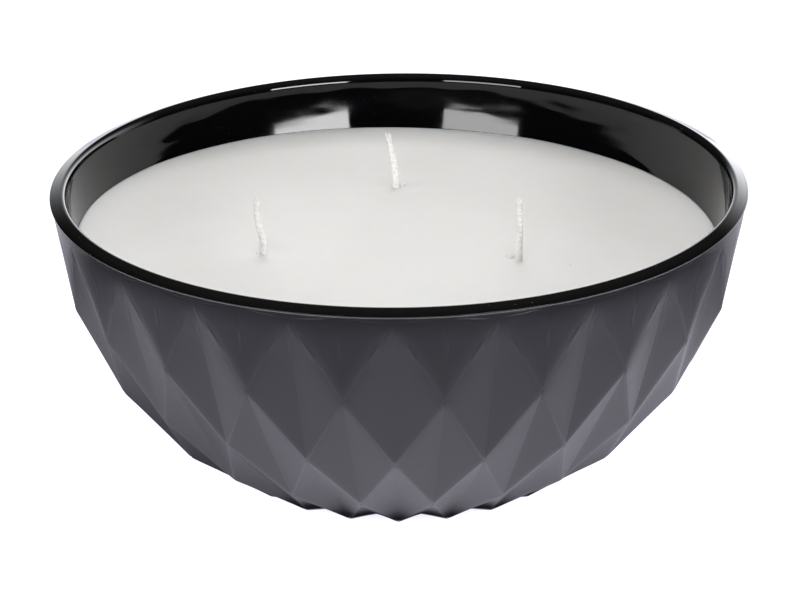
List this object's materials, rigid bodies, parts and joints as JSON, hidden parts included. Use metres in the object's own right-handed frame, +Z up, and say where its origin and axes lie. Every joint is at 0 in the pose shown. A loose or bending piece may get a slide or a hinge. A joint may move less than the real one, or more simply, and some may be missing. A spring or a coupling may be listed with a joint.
{
  "type": "container candle",
  "caption": "Wide container candle: a diamond-faceted dark bowl with a rolled glossy rim, filled with pale wax and set with upright cotton wicks.",
  "frame": {"origin": "centre of the base plane that the bowl stands on", "axes": "+Z up through the bowl's axis, -Y towards the side that the pair of front wicks is on, +X to the right seen from there"},
  "size_m": [0.17, 0.17, 0.0742],
  "materials": {
    "lacquered_glass": "satin dark grey lacquer outside, bare glossy black rim and inner wall",
    "candle_wax": "soft-sheen off-white candle wax",
    "wick_cotton": "waxed braided cotton",
    "tin_plate": "thin tinned sheet",
    "adhesive_foam": "double-sided foam dot"
  },
  "bodies": {
    "root": {"bowl": "lacquered_glass", "wax_fill": "candle_wax", "wick_back": "wick_cotton", "wick_left": "wick_cotton", "wick_right": "wick_cotton", "sustainer_back": "tin_plate", "sustainer_left": "tin_plate", "sustainer_right": "tin_plate", "sticker_back": "adhesive_foam", "sticker_left": "adhesive_foam", "sticker_right": "adhesive_foam"}
  },
  "joints": []
}
